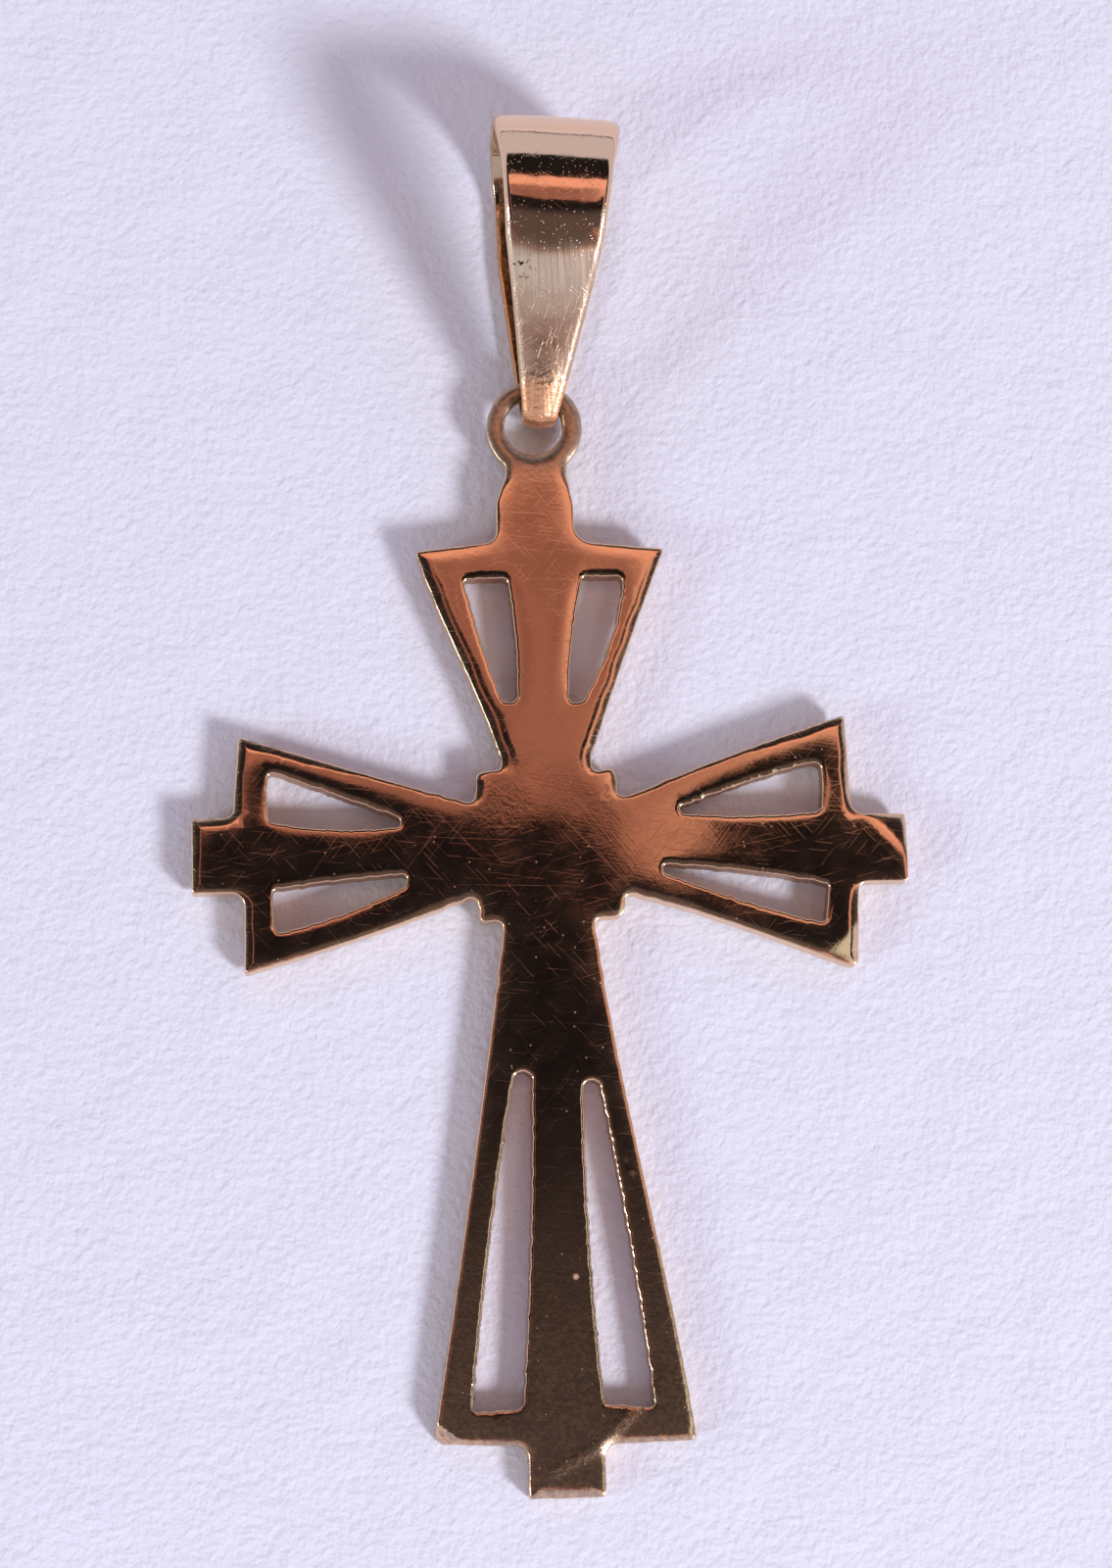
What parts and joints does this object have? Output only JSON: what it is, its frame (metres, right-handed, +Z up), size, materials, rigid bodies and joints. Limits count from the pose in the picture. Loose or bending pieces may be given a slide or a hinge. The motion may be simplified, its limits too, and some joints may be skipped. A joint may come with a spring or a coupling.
{
  "type": "cross pendant with bail",
  "caption": "Flat pierced gold cross pendant with flared limbs, a ring on its top and a folded tapered strap bail for a chain, lying on its back.",
  "frame": {"origin": "middle of the whole pendant's box, on the table that it lies on", "axes": "+X along the arms to the right, +Y up the cross to the bail, +Z up from the table through the front face"},
  "size_m": [0.0258, 0.0496, 0.006],
  "materials": {
    "plate_gold": "polished rose gold, finely scratched, with matte saw-cut edges",
    "bail_gold": "rolled rose gold strap, worn and finely scratched"
  },
  "bodies": {
    "root": {"cross": "plate_gold", "bail": "bail_gold"}
  },
  "joints": []
}
